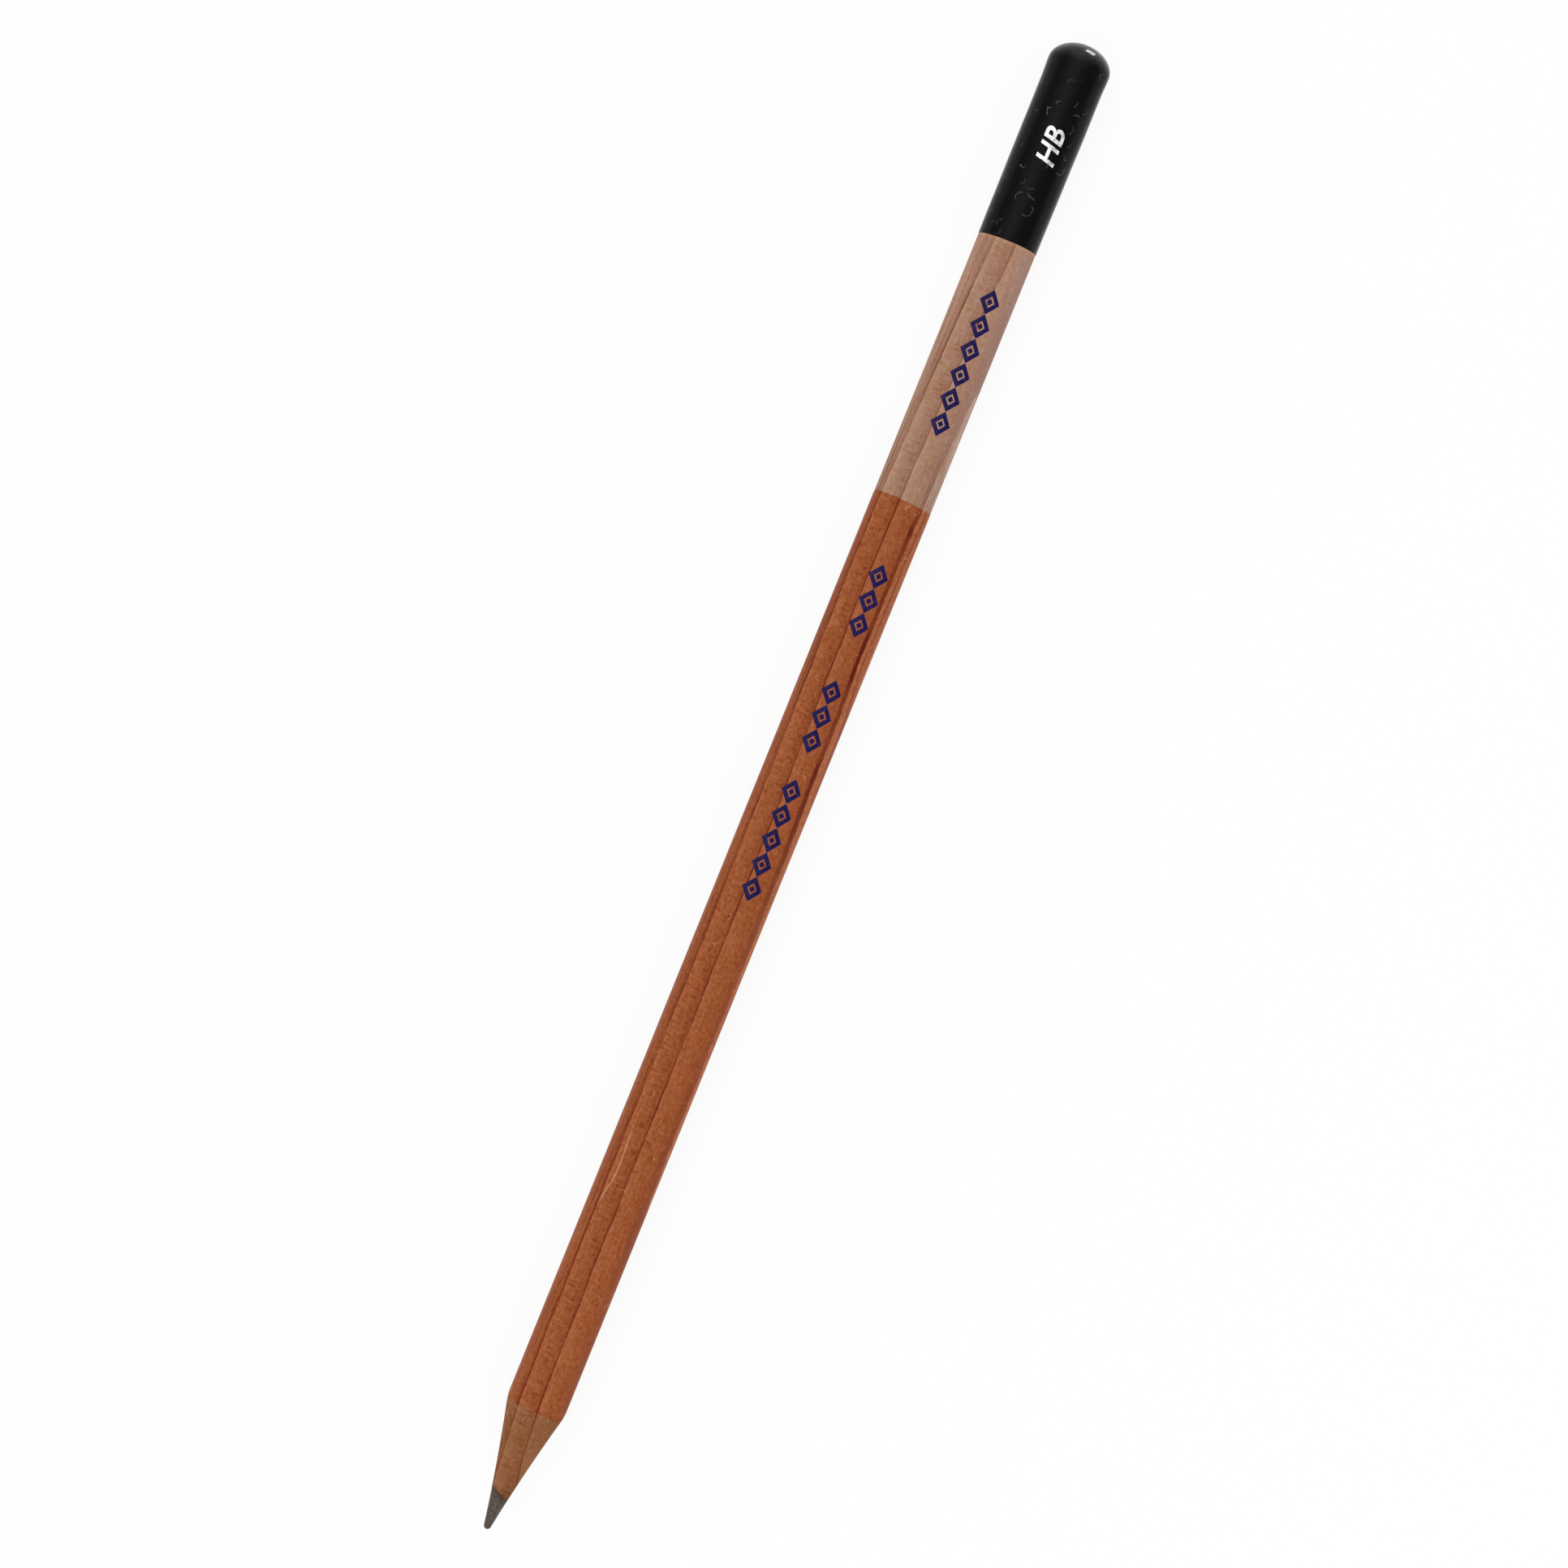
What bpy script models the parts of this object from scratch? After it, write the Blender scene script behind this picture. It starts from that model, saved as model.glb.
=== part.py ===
"""Round wooden graphite pencil: two glued casing halves, a bonded core, varnish coats and a dipped end.

Each piece is modelled upright on the turning axis, point down, and an empty lays the pencil on its side.
Local Z runs from the point to the dipped end, local X lies in the glue seam and local Y points up.
"""

import math

import bmesh
import bpy
from mathutils import Matrix, Vector

MM = 0.001

# Casing and core
PENCIL_LENGTH = 177.8 * MM
CASING_DIAMETER = 6.70 * MM
CORE_DIAMETER = 2.15 * MM
CORE_OFFSET = 0.10 * MM
SEAM_THICKNESS = 0.06 * MM
BOND_THICKNESS = 0.04 * MM

# Clearance between faces that glue or varnish holds together
SEAT_GAP = 0.01 * MM

# Sharpened point
SHARPENED_LENGTH = 14.8 * MM
TIP_RADIUS = 0.42 * MM
TIP_HALF_ANGLE = math.radians(9.5)
SHOULDER_ROUNDING = 0.8 * MM

# Varnish coats
TINTED_THICKNESS = 0.05 * MM
CLEAR_THICKNESS = 0.03 * MM
PALE_BAND_LENGTH = 30.9 * MM

# Dipped end, where the lacquer thickens from its rim to a bead below the dome
CAP_LENGTH = 23.8 * MM
CAP_RIM_THICKNESS = 0.05 * MM
CAP_BODY_THICKNESS = 0.12 * MM
CAP_BEAD_THICKNESS = 0.19 * MM
CAP_TOP_THICKNESS = 0.30 * MM
CAP_RIM_ROUNDING = 0.25 * MM
CAP_FLOW_LENGTH = 13.5 * MM
CAP_BEAD_LENGTH = 2.4 * MM
DOME_HEIGHT = 2.6 * MM

# Facets round the axis: two more than a multiple of four puts a flat facet at the bottom
SIDES = 50
TIP_STEPS = 5
CONE_STEPS = 8
SHOULDER_STEPS = 4
BEAD_STEPS = 5
DOME_STEPS = 8
CREASE_ANGLE = math.radians(30)

# How far a blank or a cutter runs past the shape that it makes
OVERSHOOT = 1.0 * MM
MERGE_DISTANCE = 0.0005 * MM

# Sizes that follow
CASING_RADIUS = CASING_DIAMETER / 2
CORE_RADIUS = CORE_DIAMETER / 2
BOND_INNER_RADIUS = CORE_RADIUS + SEAT_GAP
BOND_OUTER_RADIUS = BOND_INNER_RADIUS + BOND_THICKNESS
GROOVE_RADIUS = BOND_OUTER_RADIUS + SEAT_GAP
COAT_INNER_RADIUS = CASING_RADIUS + SEAT_GAP
TINTED_OUTER_RADIUS = COAT_INNER_RADIUS + TINTED_THICKNESS
CLEAR_OUTER_RADIUS = COAT_INNER_RADIUS + CLEAR_THICKNESS
CAP_INNER_RADIUS = CLEAR_OUTER_RADIUS + SEAT_GAP
BEAD_RADIUS = CAP_INNER_RADIUS + CAP_BEAD_THICKNESS
SLAT_FACE = SEAM_THICKNESS / 2 + SEAT_GAP
CAP_RIM = PENCIL_LENGTH - CAP_LENGTH
TINT_LINE = CAP_RIM - PALE_BAND_LENGTH
DOME_START = PENCIL_LENGTH - DOME_HEIGHT
AXIS_HEIGHT = BEAD_RADIUS * math.cos(math.pi / SIDES)


def elliptic_arc(centre_height, radius, height, start, end, steps):
    """(radius, height) pairs on an ellipse about the axis, from one angle to another above the equator."""
    angles = [start + (end - start) * step / steps for step in range(steps + 1)]
    return [(radius * math.cos(a), centre_height + height * math.sin(a)) for a in angles]


def rounded_corner(start, corner, end, steps):
    """(radius, height) pairs on the curve that leaves start and reaches end along the sides of a corner."""
    points = []
    for step in range(steps + 1):
        share = step / steps
        first = Vector(start).lerp(Vector(corner), share)
        second = Vector(corner).lerp(Vector(end), share)
        points.append(tuple(first.lerp(second, share)))
    return points


def sharpened_outline():
    """(radius, height) pairs from the blunt point up a flared cone to the tinted barrel."""
    tip = elliptic_arc(TIP_RADIUS, TIP_RADIUS, TIP_RADIUS, -math.pi / 2, -TIP_HALF_ANGLE, TIP_STEPS)
    tip[0] = (0.0, 0.0)
    foot_radius, foot_height = tip[-1]
    rise = SHARPENED_LENGTH - foot_height
    slope = math.tan(TIP_HALF_ANGLE)
    flare = (TINTED_OUTER_RADIUS - foot_radius - slope * rise) / rise**2

    def cone_point(height):
        above = height - foot_height
        return foot_radius + slope * above + flare * above**2, height

    cone_top = SHARPENED_LENGTH - SHOULDER_ROUNDING
    cone = [
        cone_point(foot_height + (cone_top - foot_height) * step / CONE_STEPS)
        for step in range(1, CONE_STEPS)
    ]
    shoulder = rounded_corner(
        cone_point(cone_top),
        (TINTED_OUTER_RADIUS, SHARPENED_LENGTH),
        (TINTED_OUTER_RADIUS, SHARPENED_LENGTH + SHOULDER_ROUNDING),
        SHOULDER_STEPS,
    )
    return tip + cone + shoulder


def split_outline(outline, radius):
    """The stretches of a rising outline inside and outside a radius, both with the point where it crosses."""
    first = next(i for i, point in enumerate(outline) if point[0] > radius)
    low, high = Vector(outline[first - 1]), Vector(outline[first])
    crossing = low.lerp(high, (radius - low[0]) / (high[0] - low[0]))
    crossing = (radius, crossing[1])
    return outline[:first] + [crossing], [crossing] + outline[first:]


def casing_outline():
    """(radius, height) pairs of the bare sharpened casing, from the point to its rounded end."""
    cone, _ = split_outline(sharpened_outline(), CASING_RADIUS)
    dome_height = DOME_HEIGHT - CAP_TOP_THICKNESS - SEAT_GAP
    dome = elliptic_arc(DOME_START, CASING_RADIUS, dome_height, 0, math.pi / 2, DOME_STEPS)
    dome[-1] = (0.0, DOME_START + dome_height)
    return cone + dome


def cap_outer_outline():
    """(radius, height) pairs up the outside of the dipped end, from its rounded rim over the dome."""
    rim_radius = CAP_INNER_RADIUS + CAP_RIM_THICKNESS
    body_radius = CAP_INNER_RADIUS + CAP_BODY_THICKNESS
    rim = rounded_corner(
        (CAP_INNER_RADIUS, CAP_RIM),
        (rim_radius, CAP_RIM),
        (rim_radius, CAP_RIM + CAP_RIM_ROUNDING),
        SHOULDER_STEPS,
    )
    body = [(body_radius, CAP_RIM + CAP_FLOW_LENGTH)]
    bead = []
    for step in range(BEAD_STEPS):
        share = step / BEAD_STEPS
        swell = share**2 * (3 - 2 * share)
        radius = body_radius + (BEAD_RADIUS - body_radius) * swell
        bead.append((radius, DOME_START - CAP_BEAD_LENGTH * (1 - share)))
    dome = elliptic_arc(DOME_START, BEAD_RADIUS, DOME_HEIGHT, 0, math.pi / 2, DOME_STEPS)
    dome[-1] = (0.0, PENCIL_LENGTH)
    return rim + body + bead + dome


def cap_inner_outline():
    """(radius, height) pairs up the inside of the dipped end, over the clear coat and the casing's dome."""
    dome_height = DOME_HEIGHT - CAP_TOP_THICKNESS
    dome = elliptic_arc(DOME_START, COAT_INNER_RADIUS, dome_height, 0, math.pi / 2, DOME_STEPS)
    dome[-1] = (0.0, DOME_START + dome_height)
    return [(CAP_INNER_RADIUS, DOME_START)] + dome


def turned(name, profile, collection, closed=False):
    """A profile of (radius, height) pairs, down its outer side, turned round the pencil's axis."""
    points = [(radius, 0.0, height) for radius, height in profile]
    edges = [(i, i + 1) for i in range(len(points) - 1)]
    if closed:
        edges.append((len(points) - 1, 0))
    mesh = bpy.data.meshes.new(name)
    mesh.from_pydata(points, edges, [])
    piece = bpy.data.objects.new(name, mesh)
    collection.objects.link(piece)
    screw = piece.modifiers.new("turning", "SCREW")
    screw.axis = "Z"
    screw.angle = 2 * math.pi
    screw.steps = SIDES
    screw.render_steps = SIDES
    screw.use_merge_vertices = True
    screw.merge_threshold = MERGE_DISTANCE
    return piece


def turned_on_core_axis(name, profile, collection, closed=False):
    """As turned, about the core's own axis, with a facet where the seam meets it instead of an edge."""
    piece = turned(name, profile, collection, closed)
    piece.location.x = CORE_OFFSET
    piece.rotation_euler.z = math.pi / SIDES
    return piece


def block(name, low, high, collection):
    """A box between two corners."""
    size = Vector(high) - Vector(low)
    place = Matrix.Translation((Vector(high) + Vector(low)) / 2) @ Matrix.Diagonal((*size, 1.0))
    shape = bmesh.new()
    bmesh.ops.create_cube(shape, size=1.0, matrix=place)
    mesh = bpy.data.meshes.new(name)
    shape.to_mesh(mesh)
    shape.free()
    piece = bpy.data.objects.new(name, mesh)
    collection.objects.link(piece)
    return piece


def as_cutter(piece):
    """Marks a helper that shapes other pieces and isn't one itself."""
    piece.display_type = "WIRE"
    piece.hide_render = True
    return piece


def cut(piece, cutter, operation):
    boolean = piece.modifiers.new(f"{operation.lower()} {cutter.name}", "BOOLEAN")
    boolean.operation = operation
    boolean.object = cutter


def rod_profile(radius):
    """Profile of a rod that runs past both ends of the casing."""
    top, bottom = PENCIL_LENGTH + OVERSHOOT, -OVERSHOOT
    return [(0.0, top), (radius, top), (radius, bottom), (0.0, bottom)]


def sleeve_profile(inner_radius, outer_radius, bottom, top):
    return [(outer_radius, top), (outer_radius, bottom), (inner_radius, bottom), (inner_radius, top)]


def make_cutters(collection):
    """The turned and sharpened envelope of the bare pencil, and the rod that mills the core's groove."""
    envelope = turned("casing_envelope", casing_outline()[::-1], collection)
    groove = turned_on_core_axis("core_groove", rod_profile(GROOVE_RADIUS), collection)
    return as_cutter(envelope), as_cutter(groove)


def make_casing_half(name, side, envelope, groove, collection):
    """One grooved slat, turned and sharpened together with the rest; side is 1 above the seam and -1 below."""
    reach = CASING_RADIUS + OVERSHOOT
    faces = sorted((side * SLAT_FACE, side * reach))
    low = (-reach, faces[0], -OVERSHOOT)
    high = (reach, faces[1], PENCIL_LENGTH + OVERSHOOT)
    half = block(name, low, high, collection)
    cut(half, groove, "DIFFERENCE")
    cut(half, envelope, "INTERSECT")
    return half


def make_glue_seam(name, side, envelope, collection):
    """The glue film between the slats on one side of the core; side is 1 towards +X."""
    groove_edge = CORE_OFFSET + side * GROOVE_RADIUS
    ends = sorted((groove_edge, side * (CASING_RADIUS + OVERSHOOT)))
    low = (ends[0], -SEAM_THICKNESS / 2, -OVERSHOOT)
    high = (ends[1], SEAM_THICKNESS / 2, PENCIL_LENGTH + OVERSHOOT)
    seam = block(name, low, high, collection)
    cut(seam, envelope, "INTERSECT")
    return seam


def make_core(envelope, collection):
    """The graphite rod, whose bare point comes from the same sharpening as the wood."""
    core = turned_on_core_axis("graphite_core", rod_profile(CORE_RADIUS), collection)
    cut(core, envelope, "INTERSECT")
    return core


def make_core_glue(envelope, collection):
    """The glue that bonds the core in its groove."""
    profile = sleeve_profile(
        BOND_INNER_RADIUS, BOND_OUTER_RADIUS, -OVERSHOOT, PENCIL_LENGTH + OVERSHOOT
    )
    glue = turned_on_core_axis("core_glue_sleeve", profile, collection, closed=True)
    cut(glue, envelope, "INTERSECT")
    return glue


def make_tinted_coat(collection):
    """Tinted varnish from the sharpened shoulder, where it thins to an edge, up to the tint line."""
    _, shoulder = split_outline(sharpened_outline(), COAT_INNER_RADIUS)
    profile = [(TINTED_OUTER_RADIUS, TINT_LINE)] + shoulder[::-1] + [(COAT_INNER_RADIUS, TINT_LINE)]
    return turned("tinted_varnish_coat", profile, collection, closed=True)


def make_clear_coat(collection):
    """Clear varnish over the pale band, running on under the dipped end to the casing's dome."""
    profile = sleeve_profile(
        COAT_INNER_RADIUS, CLEAR_OUTER_RADIUS, TINT_LINE + SEAT_GAP, DOME_START - SEAT_GAP
    )
    return turned("clear_varnish_coat", profile, collection, closed=True)


def make_end_cap(collection):
    """The dipped lacquer end, a thin shell that is open at its rim."""
    profile = cap_outer_outline()[::-1] + cap_inner_outline()
    return turned("black_end_cap", profile, collection)


def make_material(name, colour, roughness, metallic=0.0, coat=0.0):
    material = bpy.data.materials.new(name)
    material.use_nodes = True
    shader = material.node_tree.nodes["Principled BSDF"]
    shader.inputs["Base Color"].default_value = (*colour, 1.0)
    shader.inputs["Roughness"].default_value = roughness
    shader.inputs["Metallic"].default_value = metallic
    shader.inputs["Coat Weight"].default_value = coat
    return material


def finish(piece, material, axis):
    """Keeps the cut shape as the piece's own mesh, shaded smooth with crisp edges, and lays it down."""
    bpy.context.view_layer.update()
    graph = bpy.context.evaluated_depsgraph_get()
    mesh = bpy.data.meshes.new_from_object(piece.evaluated_get(graph))
    mesh.name = piece.name
    mesh.shade_smooth()
    mesh.set_sharp_from_angle(angle=CREASE_ANGLE)
    mesh.materials.clear()
    mesh.materials.append(material)
    piece.modifiers.clear()
    piece.data = mesh
    piece.parent = axis


def main():
    for old in list(bpy.data.objects):
        bpy.data.objects.remove(old, do_unlink=True)
    pencil = bpy.data.collections.new("graphite_pencil")
    cutters = bpy.data.collections.new("cutters")
    for collection in (pencil, cutters):
        bpy.context.scene.collection.children.link(collection)

    axis = bpy.data.objects.new("pencil_axis", None)
    axis.location = (-PENCIL_LENGTH / 2, 0.0, AXIS_HEIGHT)
    axis.rotation_euler = (math.pi / 2, 0.0, math.pi / 2)
    pencil.objects.link(axis)

    wood = make_material("cedar", (0.27, 0.11, 0.05), 0.6)
    graphite = make_material("graphite", (0.10, 0.082, 0.067), 0.45, metallic=0.3)
    glue = make_material("dried_glue", (0.42, 0.27, 0.15), 0.5)
    tinted = make_material("tinted_varnish", (0.32, 0.098, 0.036), 0.4, coat=0.3)
    clear = make_material("clear_varnish", (0.38, 0.20, 0.13), 0.45, coat=0.3)
    lacquer = make_material("black_lacquer", (0.010, 0.010, 0.010), 0.25, coat=0.6)

    envelope, groove = make_cutters(cutters)
    pieces = [
        (make_casing_half("upper_casing_half", 1, envelope, groove, pencil), wood),
        (make_casing_half("lower_casing_half", -1, envelope, groove, pencil), wood),
        (make_glue_seam("left_glue_seam", 1, envelope, pencil), glue),
        (make_glue_seam("right_glue_seam", -1, envelope, pencil), glue),
        (make_core(envelope, pencil), graphite),
        (make_core_glue(envelope, pencil), glue),
        (make_tinted_coat(pencil), tinted),
        (make_clear_coat(pencil), clear),
        (make_end_cap(pencil), lacquer),
    ]
    for piece, material in pieces:
        finish(piece, material, axis)


main()
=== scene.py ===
"""Looks of a round wooden graphite pencil: grained casing, varnish, dipped end, stamped marks and stage."""

import math

import bmesh
import bpy
import numpy as np
from bpy.props import FloatProperty, FloatVectorProperty, PointerProperty, StringProperty
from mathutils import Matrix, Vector


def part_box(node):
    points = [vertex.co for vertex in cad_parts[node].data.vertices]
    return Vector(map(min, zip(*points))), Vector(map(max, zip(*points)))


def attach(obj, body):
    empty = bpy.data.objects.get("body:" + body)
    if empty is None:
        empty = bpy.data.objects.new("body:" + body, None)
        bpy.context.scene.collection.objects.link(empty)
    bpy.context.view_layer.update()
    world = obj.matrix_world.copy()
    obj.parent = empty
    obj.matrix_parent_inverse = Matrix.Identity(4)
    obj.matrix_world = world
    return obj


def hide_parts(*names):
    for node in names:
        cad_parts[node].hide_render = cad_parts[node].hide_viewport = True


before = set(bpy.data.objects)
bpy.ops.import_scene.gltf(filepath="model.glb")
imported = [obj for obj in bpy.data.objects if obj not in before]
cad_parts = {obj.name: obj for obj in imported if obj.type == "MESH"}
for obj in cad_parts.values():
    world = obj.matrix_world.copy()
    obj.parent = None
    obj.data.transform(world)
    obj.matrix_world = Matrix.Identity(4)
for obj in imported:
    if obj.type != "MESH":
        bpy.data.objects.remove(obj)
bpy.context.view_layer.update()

bl_info = {
    "name": "Graphite pencil looks",
    "version": (1, 0, 0),
    "blender": (4, 5, 0),
    "location": "View3D > Sidebar > Pencil",
    "description": "Dresses a packed pencil with wood grain, varnish, lacquer, stamped marks and a stage",
    "category": "Object",
}

ROOT = "root"
MM = 1000.0

CORE_LOW, CORE_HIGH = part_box("graphite_core")
TINT_LOW, TINT_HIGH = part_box("tinted_varnish_coat")
CLEAR_LOW, CLEAR_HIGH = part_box("clear_varnish_coat")
CAP_LOW, CAP_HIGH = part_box("black_end_cap")
SLAT_LOW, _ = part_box("upper_casing_half")
_, SEAM_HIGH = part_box("left_glue_seam")
BOND_LOW, BOND_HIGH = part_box("core_glue_sleeve")

# Millimetres, measured from the point along the axis and outwards from it
POINT_X = CORE_LOW.x * MM
LENGTH = CAP_HIGH.x * MM - POINT_X
AXIS_Z = (TINT_LOW.z + TINT_HIGH.z) / 2 * MM
TINT_RADIUS = TINT_HIGH.y * MM
CLEAR_RADIUS = CLEAR_HIGH.y * MM
CASING_RADIUS = SEAM_HIGH.y * MM
BEAD_RADIUS = CAP_HIGH.y * MM
TINT_END = TINT_HIGH.x * MM - POINT_X
CLEAR_START = CLEAR_LOW.x * MM - POINT_X
CLEAR_END = CLEAR_HIGH.x * MM - POINT_X
CAP_RIM = CAP_LOW.x * MM - POINT_X
CORE_RADIUS = (CORE_HIGH.z - CORE_LOW.z) / 2 * MM
CORE_SIDE = (CORE_HIGH.y + CORE_LOW.y) / 2 * MM
COAT_GAP = 0.01
GROOVE_RADIUS = (BOND_HIGH.z - BOND_LOW.z) / 2 * MM + COAT_GAP
SLAT_FACE = SLAT_LOW.z * MM - AXIS_Z
COAT_INNER = CASING_RADIUS + COAT_GAP

# The sharpened end and the dipped end, as the CAD model has them
TIP_RADIUS = 0.42
TIP_HALF_ANGLE = math.radians(9.5)
SHARPENED_LENGTH = 14.8
SHOULDER_ROUNDING = 0.8
CAP_INNER = CLEAR_RADIUS + COAT_GAP
CAP_RIM_THICKNESS = 0.05
CAP_BODY_THICKNESS = 0.12
CAP_RIM_ROUNDING = 0.25
CAP_FLOW_LENGTH = 13.5
CAP_BEAD_LENGTH = 2.4
CAP_TOP_THICKNESS = 0.30
DOME_HEIGHT = 2.6
DOME_START = LENGTH - DOME_HEIGHT

# Fineness of the meshes
SEGMENTS = 144
CORE_SEGMENTS = 120
TIP_STEPS = 10
CONE_STATIONS = 70
SHOULDER_STEPS = 10
RIM_STEPS = 6
FLOW_STATIONS = 40
BEAD_STATIONS = 13
DOME_STEPS = 28
INNER_DOME_STEPS = 16
BARREL_STATIONS = 170
BAND_STATIONS = 60
FILM_STRIP = 0.22
WELD_DISTANCE = 0.001
CREASE_ANGLE = math.radians(35.0)

# Cutting shapes reach past the pencil's ends and sides, in millimetres
CUT_MARGIN = 1.0
SLAT_REACH = 5.0

# Edges of the coats, in millimetres
SHOULDER_MARGIN = 0.6
COAT_EDGE_MARGIN = 0.3
TINT_EDGE_DROP = 0.012
CLEAR_EDGE_DROP = 0.002
BAND_UNDER_CAP = 1.0

# How far a stamped film stands out of its surface and reaches into it, in millimetres
INK_LIFT, INK_SINK = 0.010, 0.020
FOIL_LIFT, FOIL_SINK = 0.014, 0.030

# Relief of the growth lines: widths in shares of a ring, and a wave in shares of the lines' depth
RELIEF_SINK = 0.05
RELIEF_RETURN = 0.02
RELIEF_SWAY = 0.012
RELIEF_WAVE = 0.25
CONE_RELIEF = 1.5
CONE_RELIEF_STATIONS = (4.0, 6.0, 13.0, 14.3)
LACQUER_WAVE = 0.012
LACQUER_WAVE_RISE = 1.5

# Sideways drift of the growth lines: a swing at the point, a dip by the end of the tint, a sweep after it
SWING, SWING_REACH = 0.85, 20.0
DIP, DIP_PLACE, DIP_REACH = 0.45, 113.0, 24.0
SWEEP, SWEEP_START = 0.00078, 120.0

# Growth lines: how far they wander and waver in shares of a ring, and where the third one comes and goes
WANDER_SHARE = 0.14
WAVER_SHARE = 0.03
THIRD_LINE_GROWS = (64.0, 108.0)
THIRD_LINE_FADES = (132.0, 121.0)
SECOND_LINE_PLACE = 1.14

# Blotches of the textures, in millimetres along and across the pencil
LINE_WANDER = (5.0, 3.0)
LINE_WAVER = (1.1, 2.0)
LINE_CHANGE = (9.0, 0.19)
TINT_EDGE = (1.0, 0.25)
FIBRE = (3.0, 0.13)
STREAK = (14.0, 0.35)
MOTTLE = (0.45, 0.36)
HAZE = (0.50, 0.40)
PATCH = (5.0, 1.5)
RAY = (0.26, 1.5)
RAY_GROUP = (2.4, 1.3)
GRAPHITE_TURN_MARKS = (0.07, 1.2)
GRAPHITE_STREAK = (1.0, 0.12)
GRAPHITE_MOTTLE = (0.22, 0.22)
LACQUER_SMEAR = (3.0, 1.0)
LACQUER_CLOUD = (2.5, 1.6)
LACQUER_SPECK = (0.22, 0.22)
END_DUST_AND_SHEEN = (0.5, 0.5)
INK_FIBRE = (2.5, 0.12)
INK_MOTTLE = (0.30, 0.30)
FOIL_WEAR = (0.45, 0.45)
GLUE_CLOUD = (1.5, 0.5)
LINT_BEND = (0.7, 0.7)

# Stray fibres: millimetres to a cell, share of the cells, and the fibres' sway, width and radii in cells
WOOD_LINT, WOOD_LINT_SHARE = 1.5, 0.28
LACQUER_LINT, LACQUER_LINT_SHARE = 2.0, 0.60
LINT_SWAY = 0.6
LINT_WIDTH = (0.07, 0.03)
LINT_LEAST_RADIUS = 0.12
LINT_MORE_RADIUS = 0.25

# The long scratch: where it starts, bends and ends, how far across it lies there, and its fading ends
SCRATCH_STATIONS = (38.2, 42.6, 48.4)
SCRATCH_SIDES = (-2.07, -1.46)
SCRATCH_DROP = 0.18
SCRATCH_WIDTH = (0.11, 0.04)
SCRATCH_MIDDLE = 43.0
SCRATCH_REACH = (5.4, 3.0)

# Wood under varnish and bare on the cone, with painted shade darkening its right side
TINT_SLANT = 0.055
TINT_FRINGE = 0.35
VARNISHED = {
    "tint_edge": (TINT_END + 0.10, TINT_END - 0.10), "rays": 0.33, "painted_right_shade": 0.95,
    "roughness": 0.55, "depth": 0.015, "specular": 0.10}
BARE = {
    "tint_edge": (SHARPENED_LENGTH - 0.50, SHARPENED_LENGTH - 0.20), "rays": 0.45, "painted_right_shade": 0.87,
    "roughness": 0.72, "depth": 0.030, "specular": 0.06}

# The slanted border of wood and graphite: the core's darker end, graphite smudges on the wood, and painted
# shade on the cone's right side
BORDER_SLANT = 0.5
NEAR_WOOD = (3.3, 4.3)
SMUDGE_REACH = (4.85, 4.25)
SMUDGE_TONE = 0.6
CONE_SHADE_REACH = (7.5, 4.6)
CONE_SHADE_LEVEL = 0.22
PALE_STRIP_PLACE = SHARPENED_LENGTH - 0.65
PALE_STRIP_WIDTH = (0.40, 0.10)

# Factors for red, green and blue
TEXTURE_WEIGHTS = (0.43, 0.75, 1.22)
WARM_CAST = (1.0, 0.90, 0.80)
HAZE_CAST = (1.12, 1.35, 1.60)
PALE_SIDE_PAINTED_SHEEN = (0.97, 1.06, 1.20)

# Colours of wear, of a painted highlight and sheen, and of the stage, in linear values
LINT_AND_HIGHLIGHT_COLOUR = (0.56, 0.29, 0.17)
DUST_AND_SHEEN_COLOUR = (0.13, 0.12, 0.105)
THIN_INK = (0.060, 0.036, 0.20)
WORN_FOIL = (0.25, 0.24, 0.22)
GLUE_DARK = (0.060, 0.028, 0.014)
GLUE_LIGHT = (0.105, 0.050, 0.024)
FLOOR_COLOUR = (0.94, 0.94, 0.94)
LAMP_TINT = (0.90, 0.95, 1.0)
WHITE = (1.0, 1.0, 1.0)

# Groups of lozenges: where the first one starts and their number
BARREL_GROUPS = ((75.6, 5), (93.2, 3), (107.0, 3))
BAND_GROUPS = ((131.0, 6),)
LOZENGE_HEART = (0.80, 0.70)

# Letters of the hardness mark, in shares of their size
LETTER_SLANT = 0.25
LETTER_WEIGHT = 0.06
LETTER_SPACING = 1.05

# Stage, in metres
FLOOR_REACH = 12.0
FLOOR_CELLS = 8
FLOOR_GLOW = 0.9
CARD_OFFSET = Vector((0.0042, -0.0014, 0.0012))
CARD_SIZE = (0.0026, 0.0026)
FILL_PLACE = (0.0, -1.3, 0.42)
FILL_SIZE = (1.6, 0.6)
SENSOR_WIDTH = 36.0

# Sky: a bright band across the sideways direction, and white below a height
SKY_BAND_PLACE, SKY_BAND_WIDTH = 0.20, 0.50
SKY_BAND_LEVEL, SKY_LEAST = 1.26, 0.32
HORIZON = (0.26, 0.16)


class GrainSettings(bpy.types.PropertyGroup):
    """How the growth rings cross the pencil."""

    ring_width: FloatProperty(
        name="Ring width", description="Distance between two dark growth lines",
        default=0.0024, unit="LENGTH", subtype="DISTANCE")
    ring_tilt: FloatProperty(
        name="Ring tilt", description="Lean of the growth rings from upright",
        default=math.radians(14), unit="ROTATION", subtype="ANGLE")
    first_line: FloatProperty(
        name="First line", description="Distance of the middle growth line from the axis",
        default=0.00087, unit="LENGTH", subtype="DISTANCE")
    lower_shift: FloatProperty(
        name="Lower slat shift", description="Sideways place of the lower slat's mirrored rings",
        default=0.0011, unit="LENGTH", subtype="DISTANCE")
    relief: FloatProperty(
        name="Relief", description="Depth of the growth lines in the varnished barrel",
        default=0.000012, unit="LENGTH", subtype="DISTANCE", precision=6)


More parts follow.
